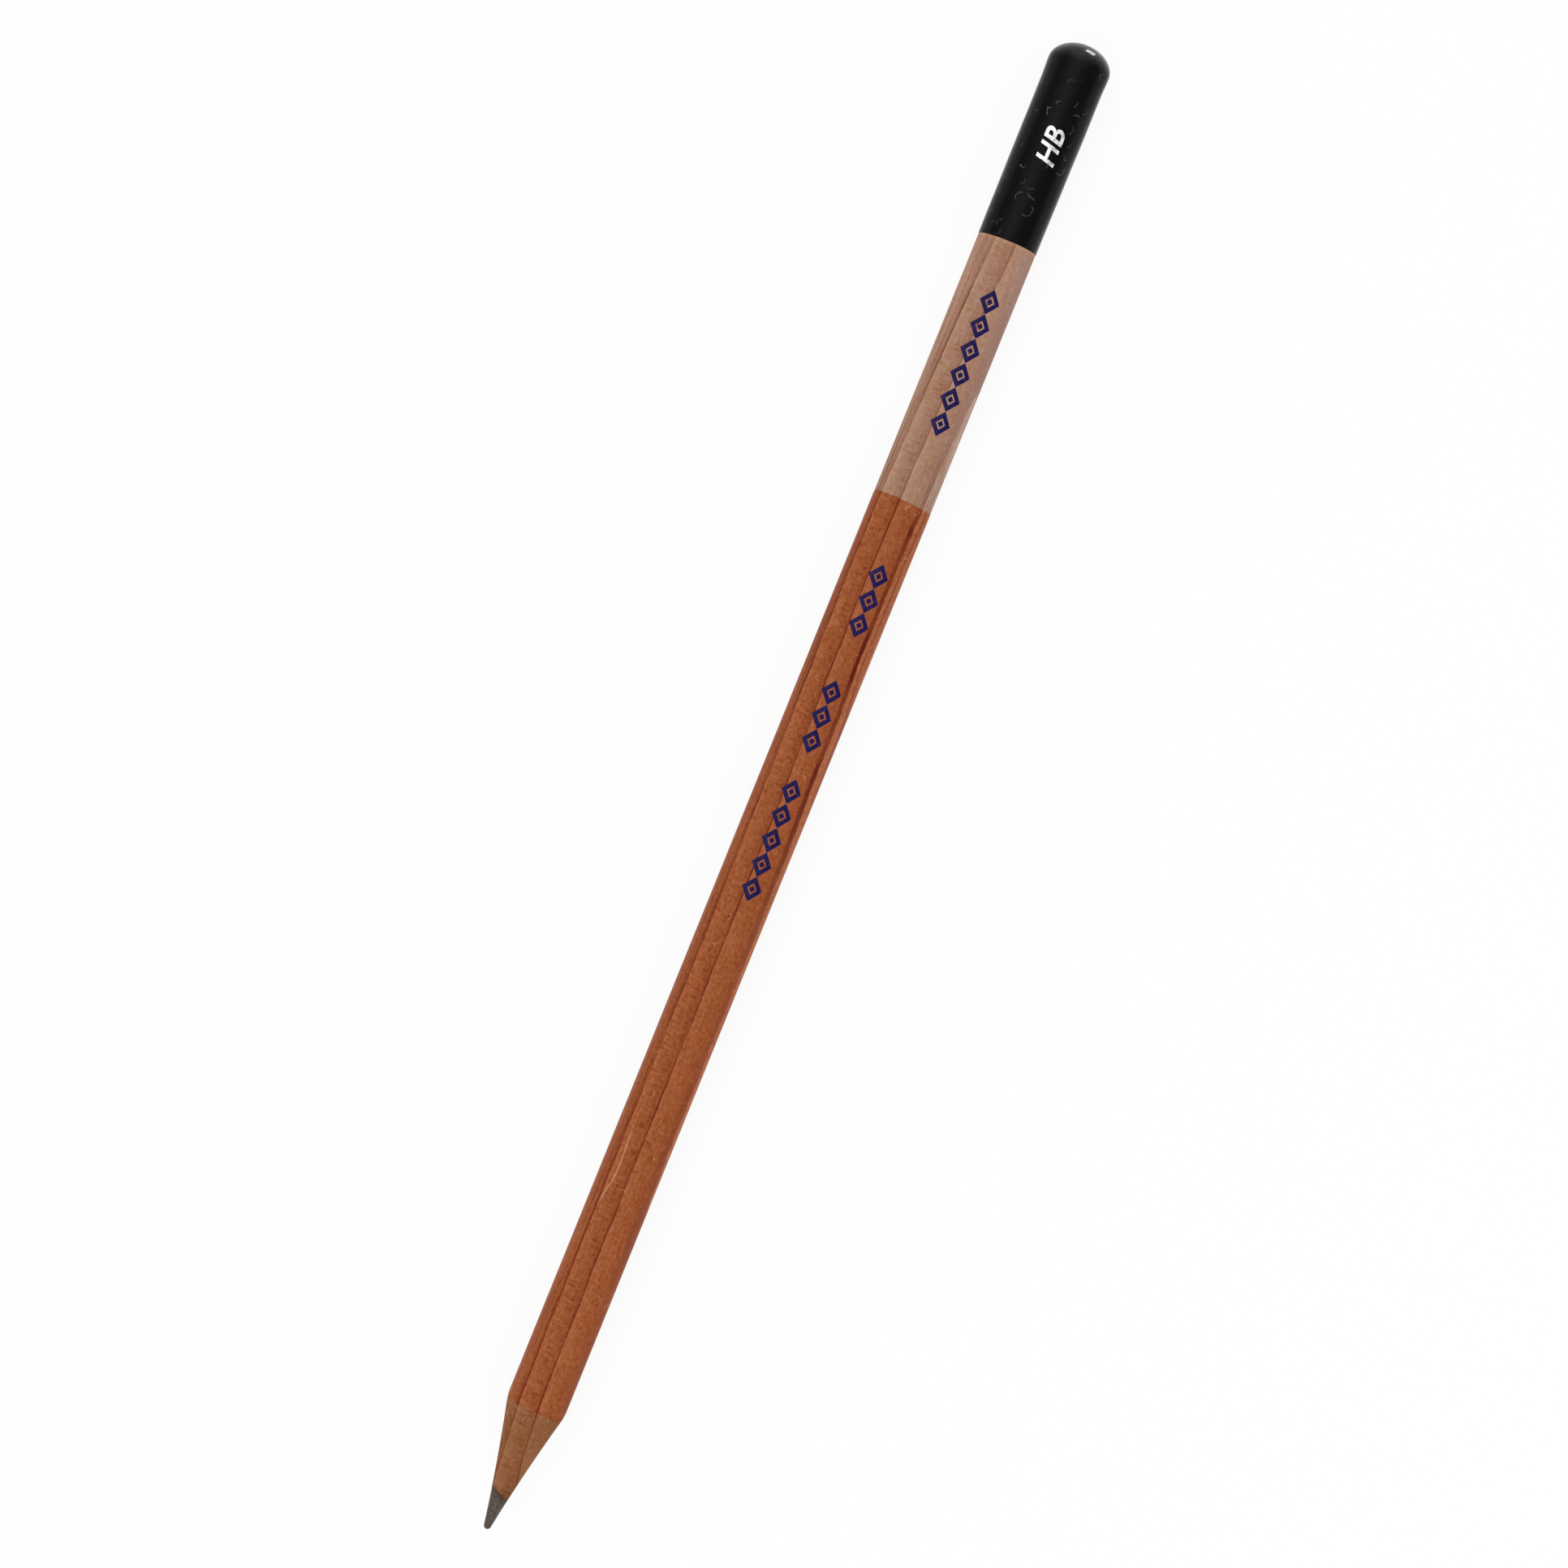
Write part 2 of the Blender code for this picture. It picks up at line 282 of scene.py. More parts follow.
class FinishColours(bpy.types.PropertyGroup):
    """Colours of the finishes, in linear values."""

    tint_light: FloatVectorProperty(
        name="Tinted early wood", description="Tinted wood just after a growth line",
        subtype="COLOR", default=(0.345, 0.100, 0.034))
    tint_dark: FloatVectorProperty(
        name="Tinted late wood", description="Tinted wood just before a growth line",
        subtype="COLOR", default=(0.258, 0.061, 0.016))
    tint_line: FloatVectorProperty(
        name="Tinted growth line", description="Dark growth line under the tinted varnish",
        subtype="COLOR", default=(0.11, 0.008, 0.001))
    pale_light: FloatVectorProperty(
        name="Pale early wood", description="Clear-varnished wood just after a growth line",
        subtype="COLOR", default=(0.40, 0.225, 0.147))
    pale_dark: FloatVectorProperty(
        name="Pale late wood", description="Clear-varnished wood just before a growth line",
        subtype="COLOR", default=(0.30, 0.148, 0.096))
    pale_line: FloatVectorProperty(
        name="Pale growth line", description="Dark growth line under the clear varnish",
        subtype="COLOR", default=(0.20, 0.082, 0.045))
    bare_light: FloatVectorProperty(
        name="Bare early wood", description="Sharpened wood just after a growth line",
        subtype="COLOR", default=(0.292, 0.121, 0.052))
    bare_dark: FloatVectorProperty(
        name="Bare late wood", description="Sharpened wood just before a growth line",
        subtype="COLOR", default=(0.230, 0.083, 0.031))
    bare_line: FloatVectorProperty(
        name="Bare growth line", description="Dark growth line on the sharpened cone",
        subtype="COLOR", default=(0.15, 0.045, 0.014))
    graphite: FloatVectorProperty(
        name="Graphite", description="Sanded graphite of the point",
        subtype="COLOR", default=(0.088, 0.071, 0.058))
    lacquer: FloatVectorProperty(
        name="Lacquer", description="Black lacquer of the dipped end",
        subtype="COLOR", default=(0.0026, 0.0026, 0.0026))
    ink: FloatVectorProperty(
        name="Ink", description="Stamped ink of the barrel ornament",
        subtype="COLOR", default=(0.006, 0.0030, 0.056))
    foil: FloatVectorProperty(
        name="Foil", description="Stamped foil of the grade mark",
        subtype="COLOR", default=(0.92, 0.92, 0.90))


class MarkSettings(bpy.types.PropertyGroup):
    """Stamped ornament of the barrel and hardness mark of the dipped end."""

    lozenge_length: FloatProperty(
        name="Lozenge length", description="Length of one lozenge along the pencil",
        default=0.0029, unit="LENGTH", subtype="DISTANCE")
    lozenge_height: FloatProperty(
        name="Lozenge height", description="Height of one lozenge round the barrel",
        default=0.0024, unit="LENGTH", subtype="DISTANCE")
    stroke: FloatProperty(
        name="Stroke", description="Width of the lozenges' lines",
        default=0.00048, unit="LENGTH", subtype="DISTANCE", precision=5)
    ornament_turn: FloatProperty(
        name="Ornament turn", description="Turn of the ornament from the top of the barrel",
        default=math.radians(11), unit="ROTATION", subtype="ANGLE")
    grade: StringProperty(
        name="Hardness", description="Hardness grade of the core, stamped on the dipped end", default="HB")
    grade_size: FloatProperty(
        name="Hardness size", description="Size of the hardness mark's letters",
        default=0.0032, unit="LENGTH", subtype="DISTANCE")
    grade_place: FloatProperty(
        name="Hardness place", description="Distance of the hardness mark from the point",
        default=0.16524, unit="LENGTH", subtype="DISTANCE")
    grade_turn: FloatProperty(
        name="Hardness turn", description="Turn of the hardness mark from the top of the dipped end",
        default=math.radians(8.6), unit="ROTATION", subtype="ANGLE")


class StageSettings(bpy.types.PropertyGroup):
    """Camera and light."""

    camera_height: FloatProperty(
        name="Camera height", description="Height of the camera above the pencil's axis",
        default=0.508, unit="LENGTH", subtype="DISTANCE")
    camera_turn: FloatProperty(
        name="Camera turn", description="Turn of the camera about the upright axis",
        default=math.radians(-67.925), unit="ROTATION", subtype="ANGLE")
    frame_width: FloatProperty(
        name="Frame width", description="Width of the picture at the height of the axis",
        default=0.17424, unit="LENGTH", subtype="DISTANCE")
    camera_place: FloatVectorProperty(
        name="Camera place", description="Place of the camera over the table",
        size=2, default=(0.00023, 0.00043), unit="LENGTH", subtype="TRANSLATION")
    sky_level: FloatProperty(
        name="Sky level", description="Brightness of the surrounding light", default=0.985, min=0.0)
    fill_power: FloatProperty(
        name="Fill power", description="Power of the soft fill from the right",
        default=8.3, unit="POWER", min=0.0)
    card_power: FloatProperty(
        name="Card power", description="Power of the card that glints on the dipped end",
        default=0.00025, unit="POWER", min=0.0, precision=5)


# Shader maths

class Socket:
    """A shader value. Arithmetic on it adds Math nodes."""

    def __init__(self, nodes, socket):
        self.nodes = nodes
        self.socket = socket

    def math(self, operation, *others):
        return self.nodes.math(operation, self, *others)

    def __add__(self, other):
        return self.math("ADD", other)

    __radd__ = __add__

    def __sub__(self, other):
        return self.math("SUBTRACT", other)

    def __rsub__(self, other):
        return self.nodes.math("SUBTRACT", other, self)

    def __mul__(self, other):
        return self.math("MULTIPLY", other)

    __rmul__ = __mul__

    def __truediv__(self, other):
        return self.math("DIVIDE", other)

    def __rtruediv__(self, other):
        return self.nodes.math("DIVIDE", other, self)

    def __abs__(self):
        return self.math("ABSOLUTE")


class Nodes:
    """Adds nodes to one tree."""

    def __init__(self, tree):
        self.tree = tree

    @staticmethod
    def find(sockets, key):
        for socket in sockets:
            if socket.identifier == key:
                return socket
        return sockets[key]

    def add(self, kind, settings, inputs, *outputs):
        """A new node: its settings first, then its inputs' values or links.

        Gives the outputs that are named.
        """
        node = self.tree.nodes.new(kind)
        for key, value in settings.items():
            if key == "stops":
                self.set_stops(node.color_ramp, value)
            else:
                setattr(node, key, value)
        for key, value in inputs.items():
            target = self.find(node.inputs, key)
            if isinstance(value, Socket):
                self.tree.links.new(value.socket, target)
            else:
                target.default_value = value
        found = tuple(Socket(self, self.find(node.outputs, name)) for name in outputs)
        return found[0] if len(found) == 1 else found

    @staticmethod
    def set_stops(ramp, stops):
        while len(ramp.elements) < len(stops):
            ramp.elements.new(1.0)
        for element, (position, colour) in zip(ramp.elements, stops):
            element.position = position
            element.color = (*colour, 1.0)

    def math(self, operation, *values):
        inputs = dict(zip(("Value", "Value_001", "Value_002"), values))
        return self.add("ShaderNodeMath", {"operation": operation}, inputs, "Value")

    def noise(self, place, size, detail=2.0, roughness=0.5, distortion=0.0, start=0.0):
        """Soft noise about 0, between -0.5 and 0.5, in blotches of a size along and across the pencil.

        Noises of one size differ by where they start.
        """
        along, across, height = place
        inputs = {"X": along / size[0] + start, "Y": across / size[1], "Z": height / size[1]}
        spot = self.add("ShaderNodeCombineXYZ", {}, inputs, "Vector")
        inputs = {
            "Vector": spot, "Scale": 1.0, "Detail": detail,
            "Roughness": roughness, "Distortion": distortion}
        return self.add("ShaderNodeTexNoise", {"noise_dimensions": "3D"}, inputs, "Fac") - 0.5

    def step(self, value, low, high, start=0.0, end=1.0):
        """Smooth change from start to end as a value goes from low to high."""
        settings = {"interpolation_type": "SMOOTHSTEP"}
        inputs = {"Value": value, "From Min": low, "From Max": high, "To Min": start, "To Max": end}
        return self.add("ShaderNodeMapRange", settings, inputs, "Result")

    def ramp(self, value, *stops):
        return self.add("ShaderNodeValToRGB", {"stops": stops}, {"Fac": value}, "Color")

    def mix(self, share, first, second):
        """A colour between two, by a share from 0 to 1."""
        first, second = ((*c, 1.0) if isinstance(c, tuple) else c for c in (first, second))
        inputs = {"Factor_Float": share, "A_Color": first, "B_Color": second}
        return self.add("ShaderNodeMix", {"data_type": "RGBA"}, inputs, "Result_Color")

    def scaled(self, colour, factor):
        inputs = {"Vector": colour, "Scale": factor}
        return self.add("ShaderNodeVectorMath", {"operation": "SCALE"}, inputs, "Vector")

    def multiplied(self, colour, factors):
        inputs = {"Vector": colour, "Vector_001": factors}
        return self.add("ShaderNodeVectorMath", {"operation": "MULTIPLY"}, inputs, "Vector")

    def varied(self, colour, texture, weights):
        """A colour made lighter and darker by a texture about 0, with a weight for each channel."""
        inputs = {"Vector": colour, "Vector_001": self.scaled(weights, texture), "Vector_002": colour}
        return self.add("ShaderNodeVectorMath", {"operation": "MULTIPLY_ADD"}, inputs, "Vector")

    def bump(self, height, depth):
        """Normal of a surface whose height of 0 to 1 is a depth in millimetres."""
        return self.add("ShaderNodeBump", {}, {"Height": height, "Distance": depth / MM}, "Normal")


def exp(value):
    return value.math("EXPONENT") if isinstance(value, Socket) else np.exp(value)


def positive(value):
    return value.math("MAXIMUM", 0.0) if isinstance(value, Socket) else np.maximum(value, 0.0)


def negative_sign(value):
    """1 where a value is under 0, and 0 elsewhere."""
    return value.math("LESS_THAN", 0.0) if isinstance(value, Socket) else np.where(value < 0.0, 1.0, 0.0)


def new_material(name):
    material = bpy.data.materials.new(name)
    material.use_nodes = True
    material.node_tree.nodes.clear()
    return material, Nodes(material.node_tree)


def finish_material(nodes, inputs):
    """Closes a material with one Principled shader."""
    shader = nodes.add("ShaderNodeBsdfPrincipled", {}, inputs, "BSDF")
    nodes.add("ShaderNodeOutputMaterial", {}, {"Surface": shader})


def pencil_place(nodes):
    """Millimetres along the pencil from its point, across it to the right and up from its axis."""
    place = nodes.add("ShaderNodeTexCoord", {}, {}, "Object")
    x, y, z = nodes.add("ShaderNodeSeparateXYZ", {}, {"Vector": place}, "X", "Y", "Z")
    return x * MM - POINT_X, y * -MM, z * MM - AXIS_Z


# Grain, shared by the relief of the meshes and the colours of the shaders

def grain_drift(along):
    """Sideways drift of the growth lines along the pencil, in millimetres."""
    dip = (along - DIP_PLACE) / DIP_REACH
    sweep = positive(along - SWEEP_START)
    return exp(along / -SWING_REACH) * SWING - exp(dip * dip * -1.0) * DIP + sweep * sweep * SWEEP


def ring_place(grain, along, across, height):
    """The growth ring at a place in millimetres. Whole numbers fall on the dark lines.

    The lower slat is another piece of board, whose rings run the other way.
    """
    mirrored = grain.lower_shift * MM - across * 2.0
    across = across + negative_sign(height) * mirrored
    sideways = across * math.cos(grain.ring_tilt) + height * math.sin(grain.ring_tilt)
    return (sideways - grain_drift(along) - grain.first_line * MM) / (grain.ring_width * MM)


def line_relief(grain, along, angle, radius):
    """Relief in millimetres of the growth lines on a turned surface, with a slow wave between them.

    Each wave is a product of two of different lengths, so that it doesn't look even.
    """
    ring = ring_place(grain, along, -radius * np.cos(angle), radius * np.sin(angle))
    ring = ring + RELIEF_SWAY * np.sin(along * 0.9) * np.sin(along * 0.37 + 1.3)
    phase = ring - np.floor(ring)
    line = np.exp(-((1.0 - phase) / RELIEF_SINK) ** 2) + np.exp(-(phase / RELIEF_RETURN) ** 2)
    wave = RELIEF_WAVE * np.sin(along * 0.21 + 2.0 * angle) * np.sin(along * 0.083 + angle)
    return -grain.relief * MM * (line + wave)


# Meshes

def turned(name, profile, segments, relief=None, closed=False):
    """A closed mesh turned about the pencil's axis from (along, radius, share of relief) points."""
    angles = np.arange(segments) * (2 * math.pi / segments)
    verts, rings = [], []
    for along, radius, share in profile:
        if radius == 0.0:
            rings.append([len(verts)] * segments)
            verts.append((along + POINT_X, 0.0, AXIS_Z))
            continue
        radii = np.full(segments, radius)
        if relief and share:
            radii = radii + share * relief(along, angles, radius)
        rings.append(list(range(len(verts), len(verts) + segments)))
        verts.extend(
            (along + POINT_X, r * math.cos(a), AXIS_Z + r * math.sin(a)) for r, a in zip(radii, angles))
    faces = []
    pairs = list(zip(rings, rings[1:])) + ([(rings[-1], rings[0])] if closed else [])
    for first, second in pairs:
        for i in range(segments):
            j = (i + 1) % segments
            corners = (first[i], first[j], second[j], second[i])
            faces.append(tuple(dict.fromkeys(corners)))
    mesh = bpy.data.meshes.new(name)
    mesh.from_pydata([Vector(v) / MM for v in verts], [], faces)
    return finished(name, mesh)


def shade(mesh):
    """Shades a mesh smooth between its sharp edges."""
    mesh.shade_smooth()
    mesh.set_sharp_from_angle(angle=CREASE_ANGLE)


def finished(name, mesh):
    """An object of a mesh with its faces turned outwards and shaded smooth."""
    shape = bmesh.new()
    shape.from_mesh(mesh)
    bmesh.ops.recalc_face_normals(shape, faces=shape.faces)
    shape.to_mesh(mesh)
    shape.free()
    shade(mesh)
    piece = bpy.data.objects.new(name, mesh)
    bpy.context.scene.collection.objects.link(piece)
    return piece


def cut(piece, cutter, operation):
    """Cuts a piece with another mesh, which is then removed."""
    boolean = piece.modifiers.new("cut", "BOOLEAN")
    boolean.operation = operation
    boolean.object = cutter
    bpy.context.view_layer.update()
    graph = bpy.context.evaluated_depsgraph_get()
    mesh = bpy.data.meshes.new_from_object(piece.evaluated_get(graph))
    piece.modifiers.clear()
    piece.data = mesh
    shade(mesh)
    bpy.data.objects.remove(cutter)


def block(name, low, high):
    """A box between two corners in millimetres from the point and the axis."""
    shape = bmesh.new()
    bmesh.ops.create_cube(shape, size=1.0)
    for vert in shape.verts:
        share = vert.co + Vector((0.5, 0.5, 0.5))
        place = [low[i] + (high[i] - low[i]) * share[i] for i in range(3)]
        vert.co = Vector((place[0] + POINT_X, place[1], place[2] + AXIS_Z)) / MM
    mesh = bpy.data.meshes.new(name)
    shape.to_mesh(mesh)
    shape.free()
    return finished(name, mesh)


def core_rod(name, radius):
    """A rod on the core's axis, longer than the pencil."""
    start, end = -CUT_MARGIN, LENGTH + CUT_MARGIN
    profile = [(start, 0.0, 0.0), (start, radius, 0.0), (end, radius, 0.0), (end, 0.0, 0.0)]
    rod = turned(name, profile, CORE_SEGMENTS)
    for vert in rod.data.vertices:
        vert.co.y += CORE_SIDE / MM
    return rod


def elliptic_arc(centre, radius, height, start, end, steps):
    """(along, radius) on an ellipse about a centre on the axis, between two angles."""
    angles = np.linspace(start, end, steps + 1)
    return [(centre + height * math.sin(a), radius * math.cos(a)) for a in angles]


def rounded_corner(start, corner, end, steps):
    """A curve from start to end that is drawn towards a corner."""
    shares = np.linspace(0.0, 1.0, steps + 1)
    return [
        tuple((1 - s) ** 2 * p + 2 * s * (1 - s) * q + s * s * r for p, q, r in zip(start, corner, end))
        for s in shares]


def sharpened_outline():
    """(along, radius) from the blunt point up the flared cone to the tinted barrel."""
    tip = elliptic_arc(TIP_RADIUS, TIP_RADIUS, TIP_RADIUS, -math.pi / 2, -TIP_HALF_ANGLE, TIP_STEPS)
    tip[0] = (0.0, 0.0)
    foot, foot_radius = tip[-1]
    rise = SHARPENED_LENGTH - foot
    slope = math.tan(TIP_HALF_ANGLE)
    flare = (TINT_RADIUS - foot_radius - slope * rise) / rise**2

    def cone_point(along):
        above = along - foot
        return along, foot_radius + slope * above + flare * above**2

    top = SHARPENED_LENGTH - SHOULDER_ROUNDING
    cone = [cone_point(s) for s in np.linspace(foot, top, CONE_STATIONS)[1:-1]]
    shoulder = rounded_corner(
        cone_point(top), (SHARPENED_LENGTH, TINT_RADIUS),
        (SHARPENED_LENGTH + SHOULDER_ROUNDING, TINT_RADIUS), SHOULDER_STEPS)
    return tip + cone + shoulder


def split_outline(outline, radius):
    """The stretches of a rising outline inside and outside a radius."""
    first = next(i for i, point in enumerate(outline) if point[1] > radius)
    (s0, r0), (s1, r1) = outline[first - 1], outline[first]
    crossing = (s0 + (s1 - s0) * (radius - r0) / (r1 - r0), radius)
    return outline[:first] + [crossing], [crossing] + outline[first:]


def cap_outline():
    """(along, radius) up the outside of the dipped end."""
    rim_radius = CAP_INNER + CAP_RIM_THICKNESS
    body_radius = CAP_INNER + CAP_BODY_THICKNESS
    rim_end = CAP_RIM + CAP_RIM_ROUNDING
    rim = rounded_corner((CAP_RIM, CAP_INNER), (CAP_RIM, rim_radius), (rim_end, rim_radius), RIM_STEPS)
    flow = [
        (s, float(np.interp(s, (CAP_RIM, CAP_RIM + CAP_FLOW_LENGTH), (rim_radius, body_radius))))
        for s in np.linspace(rim_end, DOME_START - CAP_BEAD_LENGTH, FLOW_STATIONS)[1:-1]]
    bead = []
    for share in np.linspace(0.0, 1.0, BEAD_STATIONS)[:-1]:
        swell = share**2 * (3 - 2 * share)
        radius = body_radius + (BEAD_RADIUS - body_radius) * swell
        bead.append((DOME_START - CAP_BEAD_LENGTH * (1 - share), radius))
    dome = elliptic_arc(DOME_START, BEAD_RADIUS, DOME_HEIGHT, 0, math.pi / 2, DOME_STEPS)
    dome[-1] = (LENGTH, 0.0)
    return rim + flow + bead + dome


def dress(piece, material, slot, *nodes):
    """Gives a piece its material and puts it on the pencil's body."""
    piece.data.materials.clear()
    piece.data.materials.append(material)
    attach(piece, ROOT)
    if nodes:
        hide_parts(*nodes)


# Materials

def stray_fibres(nodes, place, cell, share):
    """Mask of short curled fibres on a finish: at most one to a cell, in about a share of the cells.

    Each is an arc round the middle of its cell, with a radius and a turn of its own.
    """
    along, across, height = place
    around = across.math("ARCTAN2", height) * CASING_RADIUS
    bent_along = along + nodes.noise(place, LINT_BEND, 1.0) * LINT_SWAY
    bent_around = around + nodes.noise(place, LINT_BEND, 1.0, start=20.0) * LINT_SWAY
    inputs = {"X": bent_along / cell, "Y": bent_around / cell}
    spot = nodes.add("ShaderNodeCombineXYZ", {}, inputs, "Vector")
    settings = {"voronoi_dimensions": "2D", "feature": "F1"}
    distance, chance, centre = nodes.add(
        "ShaderNodeTexVoronoi", settings, {"Vector": spot, "Scale": 1.0}, "Distance", "Color", "Position")
    size, lean, tilt = nodes.add("ShaderNodeSeparateColor", {}, {"Color": chance}, "Red", "Green", "Blue")
    inputs = {"Vector": spot, "Vector_001": centre}
    offset = nodes.add("ShaderNodeVectorMath", {"operation": "SUBTRACT"}, inputs, "Vector")
    x, y = nodes.add("ShaderNodeSeparateXYZ", {}, {"Vector": offset}, "X", "Y")
    ring = nodes.step(abs(distance - size * LINT_MORE_RADIUS - LINT_LEAST_RADIUS) * cell, *LINT_WIDTH)
    arc = nodes.step(x * (lean - 0.5) + y * (tilt - 0.5), 0.02, 0.04)
    gate = nodes.noise(place, (2 * cell, 2 * cell), 1.0, start=70.0)
    return ring * arc * nodes.step(gate, 0.2 - share * 0.5, 0.3 - share * 0.5)


def growth_rings(nodes, grain, place):
    """The ring at a place, how far through it the place lies, and the strength of its dark line."""
    along, across, height = place
    ring = ring_place(grain, along, across, height)
    wander = nodes.noise(place, LINE_WANDER, 3.0) * WANDER_SHARE
    ring = ring + wander + nodes.noise(place, LINE_WAVER) * WAVER_SHARE
    phase = ring.math("FRACT")
    line_number = ring.math("ROUND")

    # Lines come and go along the pencil, and the third one shows only near the end of the tint
    strength = nodes.step(nodes.noise((along, line_number, 0.0), LINE_CHANGE), -0.14, 0.08, 0.36, 0.80)
    third = nodes.step(abs(line_number - 1.0), 0.6, 0.4)
    third_level = nodes.step(along, *THIRD_LINE_GROWS, 0.25, 1.6) * nodes.step(along, *THIRD_LINE_FADES)
    strength = strength * (1.0 - third * (1.0 - third_level))
    rise = nodes.step(phase, 0.88 - third * 0.045, 0.955 - third * 0.095)
    line = rise * nodes.step(phase, 1.0, 0.985) * strength
    second_line = nodes.step(abs(ring - SECOND_LINE_PLACE), 0.04, 0.015) * third_level * 0.3
    return ring, phase, line.math("MAXIMUM", second_line)


def ring_colours(nodes, phase, line, early, late, latewood):
    """Colour through one growth ring, lightest just after a dark line and darkest just before the next."""
    first = tuple(c * 1.08 for c in early)
    middle = tuple((a + b) / 2 for a, b in zip(early, late))
    body = nodes.ramp(phase, (0.0, first), (0.07, tuple(early)), (0.5, middle), (0.88, tuple(late)))
    return nodes.mix(line, body, tuple(latewood))


def scratch_mask(nodes, place, fibre):
    """A fine pale scratch across the front of the barrel."""
    along, across, height = place
    start, bend, end = SCRATCH_STATIONS
    side = nodes.step(along, start, bend, *SCRATCH_SIDES) - nodes.step(along, bend, end, 0.0, SCRATCH_DROP)
    width = nodes.step(abs(across - side), *SCRATCH_WIDTH) * nodes.step(height, 0.0, 0.5)
    reach = nodes.step(abs(along - SCRATCH_MIDDLE), *SCRATCH_REACH)
    return width * reach * nodes.step(fibre, -0.25, 0.05, 0.5, 1.0)


def ray_flecks(nodes, place, ring):
    """Pale and dark flecks of the wood's rays, in groups and mostly in one ring."""
    ray = nodes.noise(place, RAY, 0.5)
    band = nodes.step(abs(ring + 0.56), 0.44, 0.32, 0.15, 1.0)
    group = nodes.step(nodes.noise(place, RAY_GROUP, start=7.0), -0.06, 0.06, 0.40, 1.0)
    flecks = nodes.step(ray, -0.04, -0.20) * 0.55 - nodes.step(ray, 0.03, 0.19) * 0.85
    return flecks * band * group


def wood_material(name, settings, plain_colours, varnished):
    """Grained wood with a plain zone and the tinted zone beside it.

    The plain zone's colours are those of its early wood, late wood and growth lines.
    """
    look = VARNISHED if varnished else BARE
    finish = settings.finish
    material, nodes = new_material(name)
    along, across, height = place = pencil_place(nodes)
    ring, phase, line = growth_rings(nodes, settings.grain, place)

    plain = ring_colours(nodes, phase, line, *plain_colours)
    if varnished:
        # Painted cool sheen: the pale band turns greyer and bluer towards its right side
        plain = nodes.mix(nodes.step(across, 1.2, 2.8), plain, nodes.multiplied(plain, PALE_SIDE_PAINTED_SHEEN))
    tinted = ring_colours(nodes, phase, line, finish.tint_light, finish.tint_dark, finish.tint_line)
    edge = along + across * TINT_SLANT + nodes.noise(place, TINT_EDGE) * TINT_FRINGE
    tint = nodes.step(edge, *look["tint_edge"])
    base = nodes.mix(tint, plain, tinted)

    # Textures add up to a change of tone, and the rings on the right are painted a little darker, as shade
    fibre = nodes.noise(place, FIBRE, 3.0, 0.6)
    streak = nodes.noise(place, STREAK)
    mottle = nodes.noise(place, MOTTLE, 3.0, 0.65)
    patch = nodes.noise(place, PATCH)
    rays = ray_flecks(nodes, place, ring)
    ring_number = ring.math("FLOOR")
    outer = nodes.step(abs(ring_number + 0.5), 0.6, 1.4)
    texture = fibre * 1.1 + streak * (outer * 2.0 + 0.3) + mottle * (tint * 1.3 + 1.1) + patch * 0.4
    texture = texture + rays * (tint * 0.18 + look["rays"])
    painted_right_shade = nodes.step(ring_number, -0.6, -0.4, 1.0, look["painted_right_shade"])
    base = nodes.scaled(base, painted_right_shade - nodes.step(ring_number, 0.4, 0.6, 0.0, 0.04))
    base = nodes.varied(base, texture, TEXTURE_WEIGHTS)
    warm = nodes.step(streak + fibre * 0.5, 0.02, 0.16) * 0.6
    base = nodes.mix(warm, base, nodes.multiplied(base, WARM_CAST))
    haze = nodes.step(nodes.noise(place, HAZE, 2.0, 0.6, 0.8), 0.08, 0.22)
    base = nodes.mix(haze * 0.5, base, nodes.multiplied(base, HAZE_CAST))

    lint = stray_fibres(nodes, place, WOOD_LINT, WOOD_LINT_SHARE)
    lint = lint * nodes.step(mottle, -0.15, 0.10, 0.12, 0.42)
    if varnished:
        seam = nodes.step(abs(height), 0.06, 0.02) * 0.5
        base = nodes.mix(seam, base, nodes.scaled(base, 0.45))
        # A pale line on the wood by the cap's rim is a painted highlight, mixed in with the lint
        glint = nodes.step(along, CAP_RIM - 0.45, CAP_RIM - 0.12) * 0.3
        lint = lint.math("MAXIMUM", scratch_mask(nodes, place, fibre) * 0.7).math("MAXIMUM", glint)
    else:
        border = along + across * BORDER_SLANT
        smudge = nodes.step(border, *SMUDGE_REACH) * nodes.step(mottle + fibre, -0.15, 0.15, 0.1, 0.8)
        base = nodes.mix(smudge, base, tuple(c * SMUDGE_TONE for c in finish.graphite))
        # Painted shade: the right side of the cone near the point is darkened
        cone_right_shade = nodes.step(along, *CONE_SHADE_REACH) * nodes.step(across, -0.4, 0.4)
        base = nodes.scaled(base, 1.0 - cone_right_shade * CONE_SHADE_LEVEL)
        # A paler strip on the wood just below the tint's edge, in patches
        pale_strip = nodes.step(abs(edge - PALE_STRIP_PLACE), *PALE_STRIP_WIDTH)
        lint = lint.math("MAXIMUM", pale_strip * nodes.step(patch + mottle, -0.10, 0.20, 0.0, 0.20))
    base = nodes.mix(lint, base, LINT_AND_HIGHLIGHT_COLOUR)

    rough = mottle * 0.25 + fibre * 0.20 + look["roughness"]
    surface = fibre * 0.5 + mottle * 0.4 + rays * 0.4 - line * 0.6 + lint * 0.4
    normal = nodes.bump(surface, look["depth"])
    finish_material(nodes, {
        "Base Color": base, "Roughness": rough, "Normal": normal, "Specular IOR Level": look["specular"]})
    return material


